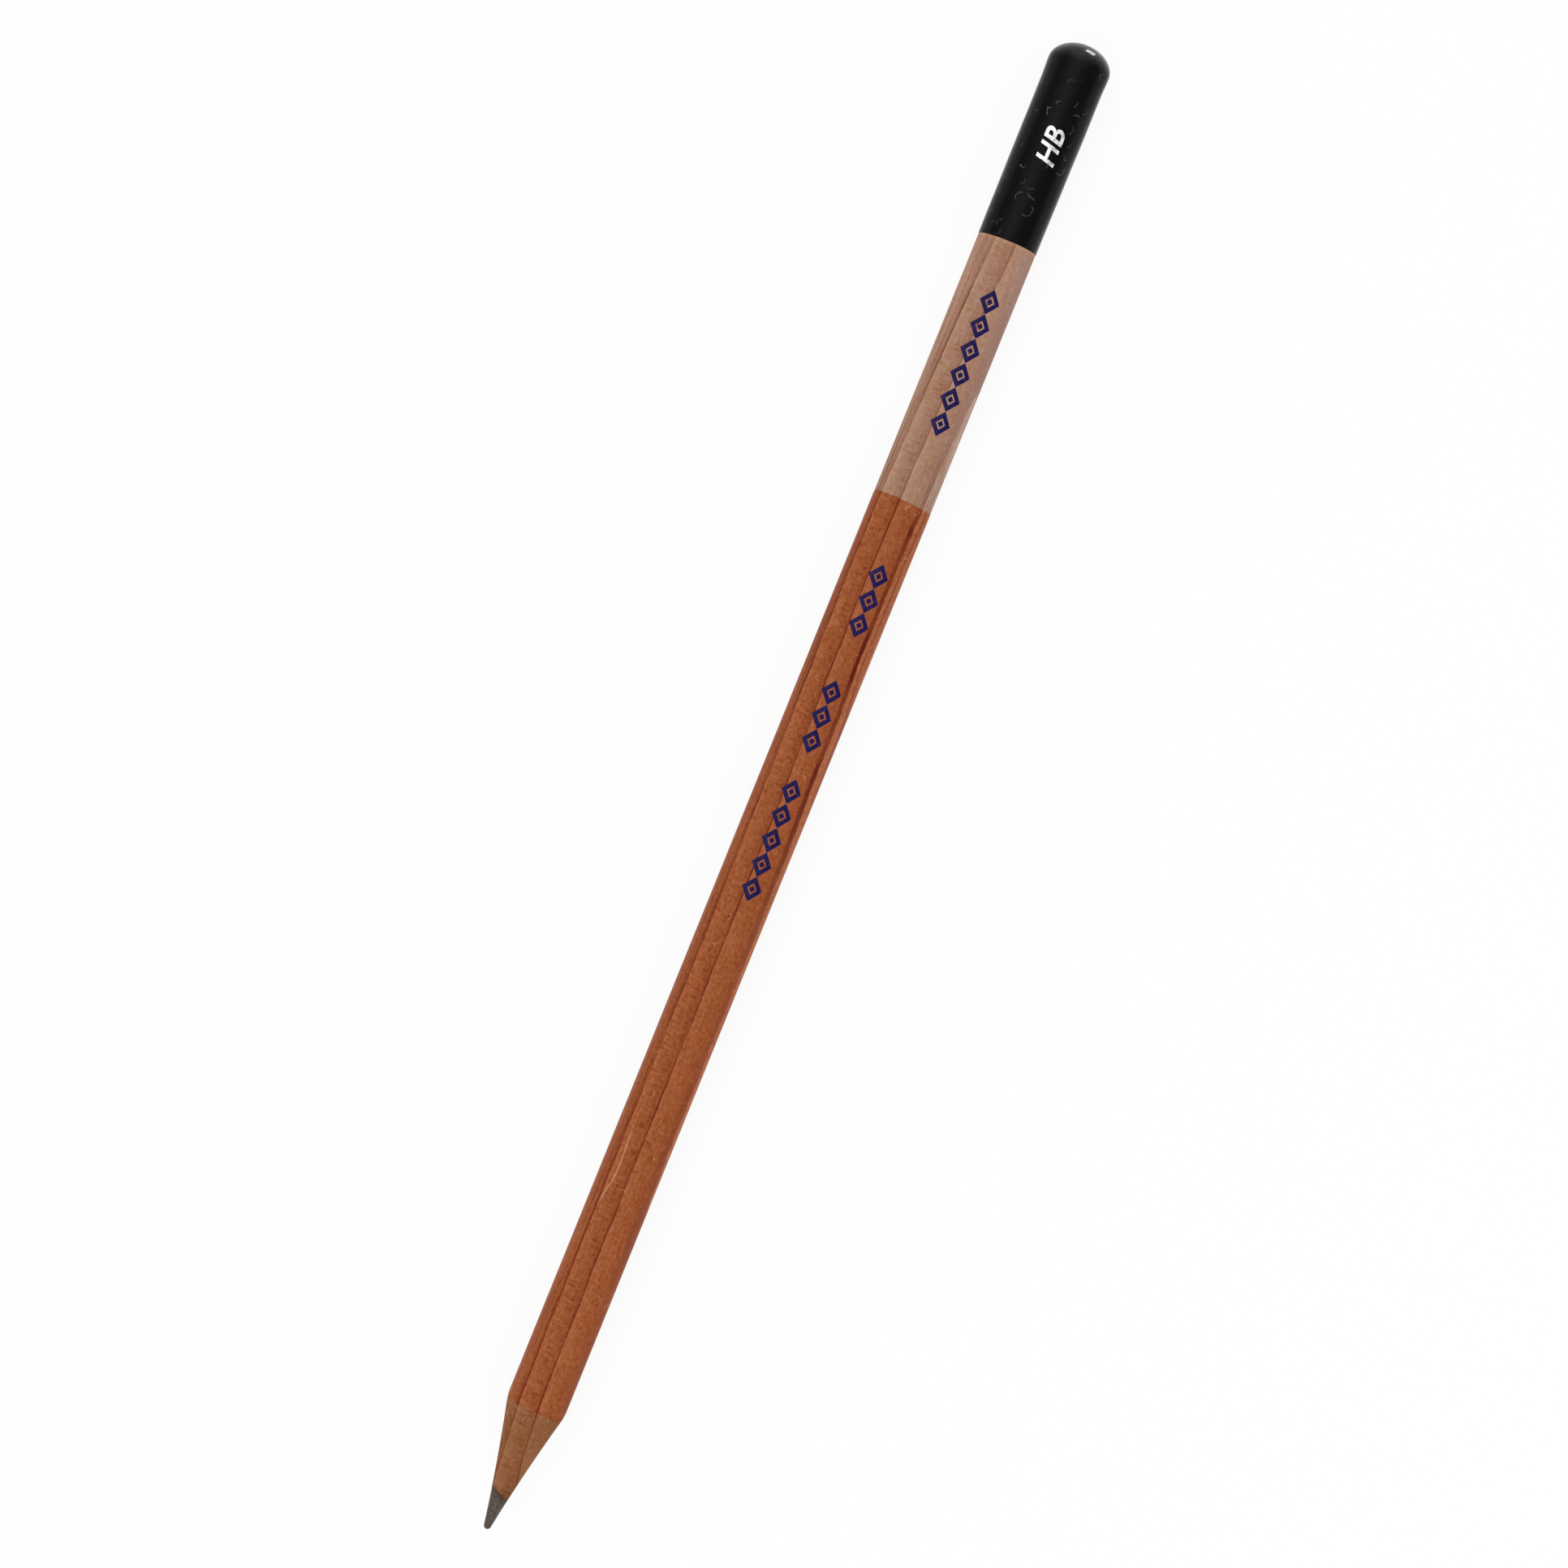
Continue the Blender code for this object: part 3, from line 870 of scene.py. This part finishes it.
def graphite_material(settings):
    material, nodes = new_material("sanded_graphite")
    along, across, _ = place = pencil_place(nodes)
    turn_marks = nodes.noise(place, GRAPHITE_TURN_MARKS)
    streak = nodes.noise(place, GRAPHITE_STREAK)
    mottle = nodes.noise(place, GRAPHITE_MOTTLE, 4.0, 0.65)
    near_wood = nodes.step(along + across * BORDER_SLANT, *NEAR_WOOD)
    tone = turn_marks * 0.6 + streak + mottle * 2.6 - near_wood * 0.45 + 1.08
    base = nodes.scaled(tuple(settings.finish.graphite), tone)
    normal = nodes.bump(turn_marks * 0.6 + mottle, 0.03)
    finish_material(nodes, {
        "Base Color": base, "Roughness": mottle * 0.4 + 0.45, "Metallic": 0.35,
        "Normal": normal, "Specular IOR Level": 0.2})
    return material


def lacquer_material(settings):
    material, nodes = new_material("black_lacquer")
    place = pencil_place(nodes)
    lint = stray_fibres(nodes, place, LACQUER_LINT, LACQUER_LINT_SHARE)
    specks = nodes.step(nodes.noise(place, LACQUER_SPECK, 1.0), 0.27, 0.35)
    cloud = nodes.step(nodes.noise(place, LACQUER_CLOUD, 3.0), -0.15, 0.20, 0.25, 1.0)
    dust = lint.math("MAXIMUM", specks) * cloud
    smear = nodes.noise(place, LACQUER_SMEAR, 3.0)
    dome = nodes.step(place[0], DOME_START - 0.2, DOME_START + 1.4)
    # The dome's grey mottling is partly dust and partly painted sheen
    end_dust_and_sheen = dome * nodes.step(nodes.noise(place, END_DUST_AND_SHEEN, 3.0), -0.05, 0.25, 0.0, 0.15)
    film = (dust * 0.66).math("MAXIMUM", end_dust_and_sheen)
    base = nodes.mix(film, tuple(settings.finish.lacquer), DUST_AND_SHEEN_COLOUR)
    normal = nodes.bump(smear * 0.5 + dust * 0.6, 0.03)
    finish_material(nodes, {
        "Base Color": base, "Roughness": smear * 0.2 + dust * 0.4 + 0.20,
        "Normal": normal, "Specular IOR Level": 0.09, "Coat Weight": dome * 0.4, "Coat Roughness": 0.06})
    return material


def ink_material(settings):
    material, nodes = new_material("stamped_ink")
    place = pencil_place(nodes)
    fibre = nodes.noise(place, INK_FIBRE, 3.0, 0.6)
    mottle = nodes.noise(place, INK_MOTTLE, 3.0)
    thin = nodes.step(fibre + mottle, 0.04, 0.32)
    base = nodes.mix(thin * 0.5, tuple(settings.finish.ink), THIN_INK)
    normal = nodes.bump(fibre, 0.01)
    finish_material(nodes, {
        "Base Color": base, "Roughness": mottle * 0.2 + 0.42, "Normal": normal, "Specular IOR Level": 0.15})
    return material


def foil_material(settings):
    material, nodes = new_material("stamped_foil")
    place = pencil_place(nodes)
    wear = nodes.noise(place, FOIL_WEAR, 3.0, 0.6)
    worn = nodes.step(wear + place[1] * 0.06, 0.02, 0.20)
    base = nodes.mix(worn * 0.75, tuple(settings.finish.foil), WORN_FOIL)
    normal = nodes.bump(wear, 0.05)
    finish_material(nodes, {
        "Base Color": base, "Metallic": 0.35, "Roughness": wear * 0.25 + 0.37, "Normal": normal})
    return material


def glue_material():
    material, nodes = new_material("dried_glue")
    cloud = nodes.noise(pencil_place(nodes), GLUE_CLOUD, 3.0)
    base = nodes.mix(cloud + 0.5, GLUE_DARK, GLUE_LIGHT)
    finish_material(nodes, {
        "Base Color": base, "Roughness": cloud * 0.2 + 0.55, "Normal": nodes.bump(cloud, 0.01),
        "Specular IOR Level": 0.15})
    return material


# Pieces

class PENCIL_OT_casing(bpy.types.Operator):
    """Build the two sharpened casing halves with raised grain on the cone"""

    bl_idname = "pencil.casing"
    bl_label = "Casing halves"

    def execute(self, context):
        settings = context.scene.pencil_looks
        finish = settings.finish
        bare_colours = (finish.bare_light, finish.bare_dark, finish.bare_line)
        wood = wood_material("bare_cedar", settings, bare_colours, varnished=False)
        for side, half in ((1, "upper"), (-1, "lower")):
            node = f"{half}_casing_half"
            piece = self.envelope(settings, f"{half}_casing")
            cut(piece, core_rod("groove", GROOVE_RADIUS), "DIFFERENCE")
            bottom, top = sorted((side * SLAT_FACE, side * SLAT_REACH))
            low = (-CUT_MARGIN, -SLAT_REACH, bottom)
            high = (LENGTH + CUT_MARGIN, SLAT_REACH, top)
            cut(piece, block("slat", low, high), "INTERSECT")
            dress(piece, wood, "cedar", node)
        return {"FINISHED"}

    @staticmethod
    def envelope(settings, name):
        """The bare sharpened pencil, with relief on its cone."""
        cone, _ = split_outline(sharpened_outline(), CASING_RADIUS)
        dome_height = DOME_HEIGHT - CAP_TOP_THICKNESS - COAT_GAP
        dome = elliptic_arc(DOME_START, CASING_RADIUS, dome_height, 0, math.pi / 2, INNER_DOME_STEPS)
        dome[-1] = (DOME_START + dome_height, 0.0)
        rough = [(s, r, float(np.interp(s, CONE_RELIEF_STATIONS, (0, 1, 1, 0)))) for s, r in cone]
        plain = [(s, r, 0.0) for s, r in dome]

        def relief(along, angles, radius):
            return line_relief(settings.grain, along, angles, radius) * CONE_RELIEF

        return turned(name, rough + plain, SEGMENTS, relief)


class PENCIL_OT_core(bpy.types.Operator):
    """Build the graphite core with its sanded point"""

    bl_idname = "pencil.core"
    bl_label = "Graphite core"

    def execute(self, context):
        settings = context.scene.pencil_looks
        core = core_rod("graphite_rod", CORE_RADIUS)
        cut(core, PENCIL_OT_casing.envelope(settings, "point"), "INTERSECT")
        dress(core, graphite_material(settings), "graphite", "graphite_core")
        return {"FINISHED"}


class PENCIL_OT_glue(bpy.types.Operator):
    """Give the glue films their finish"""

    bl_idname = "pencil.glue"
    bl_label = "Glue films"

    def execute(self, context):
        glue = glue_material()
        for node in ("left_glue_seam", "right_glue_seam", "core_glue_sleeve"):
            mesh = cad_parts[node].data
            mesh.materials.clear()
            mesh.materials.append(glue)
        return {"FINISHED"}


class PENCIL_OT_coats(bpy.types.Operator):
    """Build the tinted and the clear varnish over the barrel"""

    bl_idname = "pencil.coats"
    bl_label = "Varnish coats"

    def execute(self, context):
        settings = context.scene.pencil_looks
        finish = settings.finish
        pale_colours = (finish.pale_light, finish.pale_dark, finish.pale_line)
        wood = wood_material("varnished_cedar", settings, pale_colours, varnished=True)

        def relief(along, angles, radius):
            return line_relief(settings.grain, along, angles, radius)

        _, shoulder = split_outline(sharpened_outline(), COAT_INNER)
        start, end = shoulder[-1][0] + SHOULDER_MARGIN, TINT_END - COAT_EDGE_MARGIN
        barrel = [(s, TINT_RADIUS, 1.0) for s in np.linspace(start, end, BARREL_STATIONS)]
        profile = [(s, r, 0.0) for s, r in shoulder] + barrel
        profile += [(TINT_END, TINT_RADIUS - TINT_EDGE_DROP, 0.0), (TINT_END, COAT_INNER, 0.0)]
        tinted = turned("tinted_barrel", profile, SEGMENTS, relief, closed=True)
        dress(tinted, wood, "tinted_varnish", "tinted_varnish_coat")

        start, end = CLEAR_START + COAT_EDGE_MARGIN, CAP_RIM + BAND_UNDER_CAP
        band = [(s, CLEAR_RADIUS, 1.0) for s in np.linspace(start, end, BAND_STATIONS)]
        profile = [(CLEAR_START, COAT_INNER, 0.0), (CLEAR_START, CLEAR_RADIUS - CLEAR_EDGE_DROP, 0.0)] + band
        profile += [(CLEAR_END, CLEAR_RADIUS, 0.0), (CLEAR_END, COAT_INNER, 0.0)]
        pale = turned("pale_band", profile, SEGMENTS, relief, closed=True)
        dress(pale, wood, "clear_varnish", "clear_varnish_coat")
        return {"FINISHED"}


class PENCIL_OT_end_cap(bpy.types.Operator):
    """Build the black lacquer of the dipped end"""

    bl_idname = "pencil.end_cap"
    bl_label = "Dipped end"

    def execute(self, context):
        settings = context.scene.pencil_looks

        def relief(along, angles, radius):
            wave = np.sin(along * 0.55 + 2 * angles) * np.sin(along * 0.23 - angles + 0.7)
            return LACQUER_WAVE * wave

        inner_height = DOME_HEIGHT - CAP_TOP_THICKNESS
        inner = elliptic_arc(DOME_START, COAT_INNER, inner_height, 0, math.pi / 2, INNER_DOME_STEPS)
        inner[-1] = (DOME_START + inner_height, 0.0)
        stations = (CAP_RIM, CAP_RIM + LACQUER_WAVE_RISE, DOME_START, LENGTH)
        outer = [(s, r, float(np.interp(s, stations, (0, 1, 1, 0)))) for s, r in cap_outline()]
        profile = outer[::-1] + [(DOME_START, CAP_INNER, 0.0)] + [(s, r, 0.0) for s, r in inner]
        cap = turned("end_cap", profile, SEGMENTS, relief)
        dress(cap, lacquer_material(settings), "black_lacquer", "black_end_cap")
        return {"FINISHED"}


def wrapped(name, shape, surface, turn, lift, sink):
    """A flat shape in millimetres laid round the pencil as a thin closed film.

    Its middle is turned from the top. It stands out by its lift and reaches in by its sink.
    """
    reach = max(abs(v.co.y) for v in shape.verts)
    for level in np.arange(-reach, reach, FILM_STRIP):
        everything = shape.verts[:] + shape.edges[:] + shape.faces[:]
        bmesh.ops.bisect_plane(shape, geom=everything, plane_co=(0, level, 0), plane_no=(0, 1, 0))
    grown = bmesh.ops.extrude_face_region(shape, geom=shape.faces[:])["geom"]
    tops = {v for v in grown if isinstance(v, bmesh.types.BMVert)}
    for vert in shape.verts:
        along, sideways, _ = vert.co
        radius = surface(along)
        angle = math.pi / 2 + turn - sideways / radius
        radius += lift if vert in tops else -sink
        vert.co = Vector((
            along + POINT_X, radius * math.cos(angle), AXIS_Z + radius * math.sin(angle))) / MM
    mesh = bpy.data.meshes.new(name)
    shape.to_mesh(mesh)
    shape.free()
    return finished(name, mesh)


class PENCIL_OT_ornament(bpy.types.Operator):
    """Build the stamped rows of lozenges on the barrel"""

    bl_idname = "pencil.ornament"
    bl_label = "Stamped ornament"

    def execute(self, context):
        settings = context.scene.pencil_looks
        marks = settings.marks
        ink = ink_material(settings)
        rows = (
            ("barrel_ornament", BARREL_GROUPS, TINT_RADIUS, "tinted_varnish"),
            ("band_ornament", BAND_GROUPS, CLEAR_RADIUS, "clear_varnish"))
        for name, groups, radius, slot in rows:
            shape = bmesh.new()
            for start, count in groups:
                for i in range(count):
                    self.lozenge(shape, marks, start + (i + 0.5) * marks.lozenge_length * MM)
            piece = wrapped(
                name, shape, lambda along, r=radius: r, marks.ornament_turn, INK_LIFT, INK_SINK)
            dress(piece, ink, slot)
        return {"FINISHED"}

    @staticmethod
    def lozenge(shape, marks, middle):
        """An open lozenge round a small solid one."""
        def corners(half_length, half_height):
            points = ((half_length, 0), (0, half_height), (-half_length, 0), (0, -half_height))
            return [shape.verts.new((middle + x, y, 0.0)) for x, y in points]

        length, height = marks.lozenge_length * MM / 2, marks.lozenge_height * MM / 2
        stroke = marks.stroke * MM
        slant = math.hypot(length, height)
        outer = corners(length, height)
        inner = corners(length - stroke * slant / height, height - stroke * slant / length)
        for i in range(4):
            j = (i + 1) % 4
            shape.faces.new((outer[i], outer[j], inner[j], inner[i]))
        shape.faces.new(corners(*(share * stroke for share in LOZENGE_HEART)))


class PENCIL_OT_grade_mark(bpy.types.Operator):
    """Build the hardness mark stamped in foil on the dipped end"""

    bl_idname = "pencil.grade_mark"
    bl_label = "Hardness mark"

    def execute(self, context):
        settings = context.scene.pencil_looks
        marks = settings.marks
        text = bpy.data.curves.new("grade", "FONT")
        text.body = marks.grade
        text.size = marks.grade_size * MM
        text.shear = LETTER_SLANT
        text.offset = LETTER_WEIGHT
        text.space_character = LETTER_SPACING
        text.align_x = "CENTER"
        text.align_y = "CENTER"
        holder = bpy.data.objects.new("grade", text)
        context.scene.collection.objects.link(holder)
        context.view_layer.update()
        graph = context.evaluated_depsgraph_get()
        flat = bpy.data.meshes.new_from_object(holder.evaluated_get(graph))
        bpy.data.objects.remove(holder)
        shape = bmesh.new()
        shape.from_mesh(flat)
        bmesh.ops.remove_doubles(shape, verts=shape.verts, dist=WELD_DISTANCE)
        for vert in shape.verts:
            vert.co.x += marks.grade_place * MM
        stations, radii = zip(*cap_outline())

        def surface(along):
            return float(np.interp(along, stations, radii))

        piece = wrapped("grade_mark", shape, surface, marks.grade_turn, FOIL_LIFT, FOIL_SINK)
        dress(piece, foil_material(settings), "black_lacquer")
        return {"FINISHED"}


class PENCIL_OT_stage(bpy.types.Operator):
    """Build the floor, the light and the camera"""

    bl_idname = "pencil.stage"
    bl_label = "Stage"

    def execute(self, context):
        settings = context.scene.pencil_looks.stage
        context.scene.view_settings.view_transform = "Standard"
        self.floor()
        self.world(context.scene, settings)
        self.lamps(settings)
        self.camera(context.scene, settings)
        return {"FINISHED"}

    @staticmethod
    def floor():
        """A white floor, which mostly glows where it is seen and keeps a soft shadow."""
        shape = bmesh.new()
        bmesh.ops.create_grid(shape, x_segments=FLOOR_CELLS, y_segments=FLOOR_CELLS, size=FLOOR_REACH)
        mesh = bpy.data.meshes.new("floor")
        shape.to_mesh(mesh)
        shape.free()
        floor = bpy.data.objects.new("floor", mesh)
        bpy.context.scene.collection.objects.link(floor)
        material, nodes = new_material("white_floor")
        diffuse = nodes.add("ShaderNodeBsdfDiffuse", {}, {"Color": (*FLOOR_COLOUR, 1.0)}, "BSDF")
        glow = nodes.add("ShaderNodeEmission", {}, {"Color": (*WHITE, 1.0), "Strength": 1.0}, "Emission")
        camera, glossy, clear = nodes.add(
            "ShaderNodeLightPath", {}, {}, "Is Camera Ray", "Is Glossy Ray", "Is Transmission Ray")
        seen = camera.math("MAXIMUM", glossy).math("MAXIMUM", clear)
        inputs = {"Fac": seen * FLOOR_GLOW, "Shader": diffuse, "Shader_001": glow}
        shader = nodes.add("ShaderNodeMixShader", {}, inputs, "Shader")
        nodes.add("ShaderNodeOutputMaterial", {}, {"Surface": shader})
        mesh.materials.append(material)

    @staticmethod
    def world(scene, settings):
        """A soft sky with a wide bright band to the left of the pencil, white all round near the floor."""
        world = bpy.data.worlds.new("studio")
        world.use_nodes = True
        world.node_tree.nodes.clear()
        nodes = Nodes(world.node_tree)
        way = nodes.add("ShaderNodeTexCoord", {}, {}, "Generated")
        left, up = nodes.add("ShaderNodeSeparateXYZ", {}, {"Vector": way}, "Y", "Z")
        off_band = (left - SKY_BAND_PLACE) / SKY_BAND_WIDTH
        band = exp(off_band * off_band * -1.0) * SKY_BAND_LEVEL + SKY_LEAST
        horizon = nodes.step(up, *HORIZON)
        level = (band * (1.0 - horizon) + horizon) * settings.sky_level
        sky = nodes.add("ShaderNodeBackground", {}, {"Color": nodes.scaled(WHITE, level)}, "Background")
        nodes.add("ShaderNodeOutputWorld", {}, {"Surface": sky})
        scene.world = world

    @staticmethod
    def lamp(name, place, aim, size, power):
        """A rectangular lamp that faces a point."""
        light = bpy.data.lights.new(name, "AREA")
        light.shape = "RECTANGLE"
        light.size, light.size_y = size
        light.energy = power
        light.color = LAMP_TINT
        lamp = bpy.data.objects.new(name, light)
        lamp.location = place
        lamp.rotation_euler = (Vector(aim) - lamp.location).to_track_quat("-Z", "Y").to_euler()
        bpy.context.scene.collection.objects.link(lamp)
        return lamp

    @classmethod
    def lamps(cls, settings):
        """A small card that only glints on the dipped end, and a fill from the right without reflections."""
        end = Vector((CAP_HIGH.x, 0.0, AXIS_Z / MM))
        card = cls.lamp("card", end + CARD_OFFSET, end, CARD_SIZE, settings.card_power)
        card.visible_diffuse = False
        card.visible_camera = False
        fill = cls.lamp("fill", FILL_PLACE, (0.0, 0.0, 0.0), FILL_SIZE, settings.fill_power)
        fill.visible_glossy = False

    @staticmethod
    def camera(scene, settings):
        """A camera straight above the pencil, turned as the picture is."""
        data = bpy.data.cameras.new("camera")
        data.sensor_width = SENSOR_WIDTH
        data.lens = data.sensor_width * settings.camera_height / settings.frame_width
        camera = bpy.data.objects.new("camera", data)
        camera.location = (*settings.camera_place, settings.camera_height + AXIS_Z / MM)
        camera.rotation_euler = (0.0, 0.0, settings.camera_turn)
        scene.collection.objects.link(camera)
        scene.camera = camera


class PencilLooks(bpy.types.PropertyGroup):
    """All settings of the pencil's looks."""

    grain: PointerProperty(type=GrainSettings)
    finish: PointerProperty(type=FinishColours)
    marks: PointerProperty(type=MarkSettings)
    stage: PointerProperty(type=StageSettings)


OPERATORS = (
    PENCIL_OT_casing, PENCIL_OT_core, PENCIL_OT_glue, PENCIL_OT_coats, PENCIL_OT_end_cap,
    PENCIL_OT_ornament, PENCIL_OT_grade_mark, PENCIL_OT_stage)


class PENCIL_PT_looks(bpy.types.Panel):
    """Lists the pieces and the settings."""

    bl_idname = "PENCIL_PT_looks"
    bl_label = "Pencil looks"
    bl_space_type = "VIEW_3D"
    bl_region_type = "UI"
    bl_category = "Pencil"

    def draw(self, context):
        for operator in OPERATORS:
            self.layout.operator(operator.bl_idname)
        looks = context.scene.pencil_looks
        for group in (looks.grain, looks.finish, looks.marks, looks.stage):
            box = self.layout.box()
            for name in group.__annotations__:
                box.prop(group, name)


CLASSES = (
    GrainSettings, FinishColours, MarkSettings, StageSettings, PencilLooks, *OPERATORS, PENCIL_PT_looks)


def register():
    for cls in CLASSES:
        bpy.utils.register_class(cls)
    bpy.types.Scene.pencil_looks = PointerProperty(type=PencilLooks)


def unregister():
    del bpy.types.Scene.pencil_looks
    for cls in reversed(CLASSES):
        bpy.utils.unregister_class(cls)


def main():
    register()
    bpy.ops.pencil.casing()
    bpy.ops.pencil.core()
    bpy.ops.pencil.glue()
    bpy.ops.pencil.coats()
    bpy.ops.pencil.end_cap()
    bpy.ops.pencil.ornament()
    bpy.ops.pencil.grade_mark()
    bpy.ops.pencil.stage()


if __name__ == "__main__":
    main()
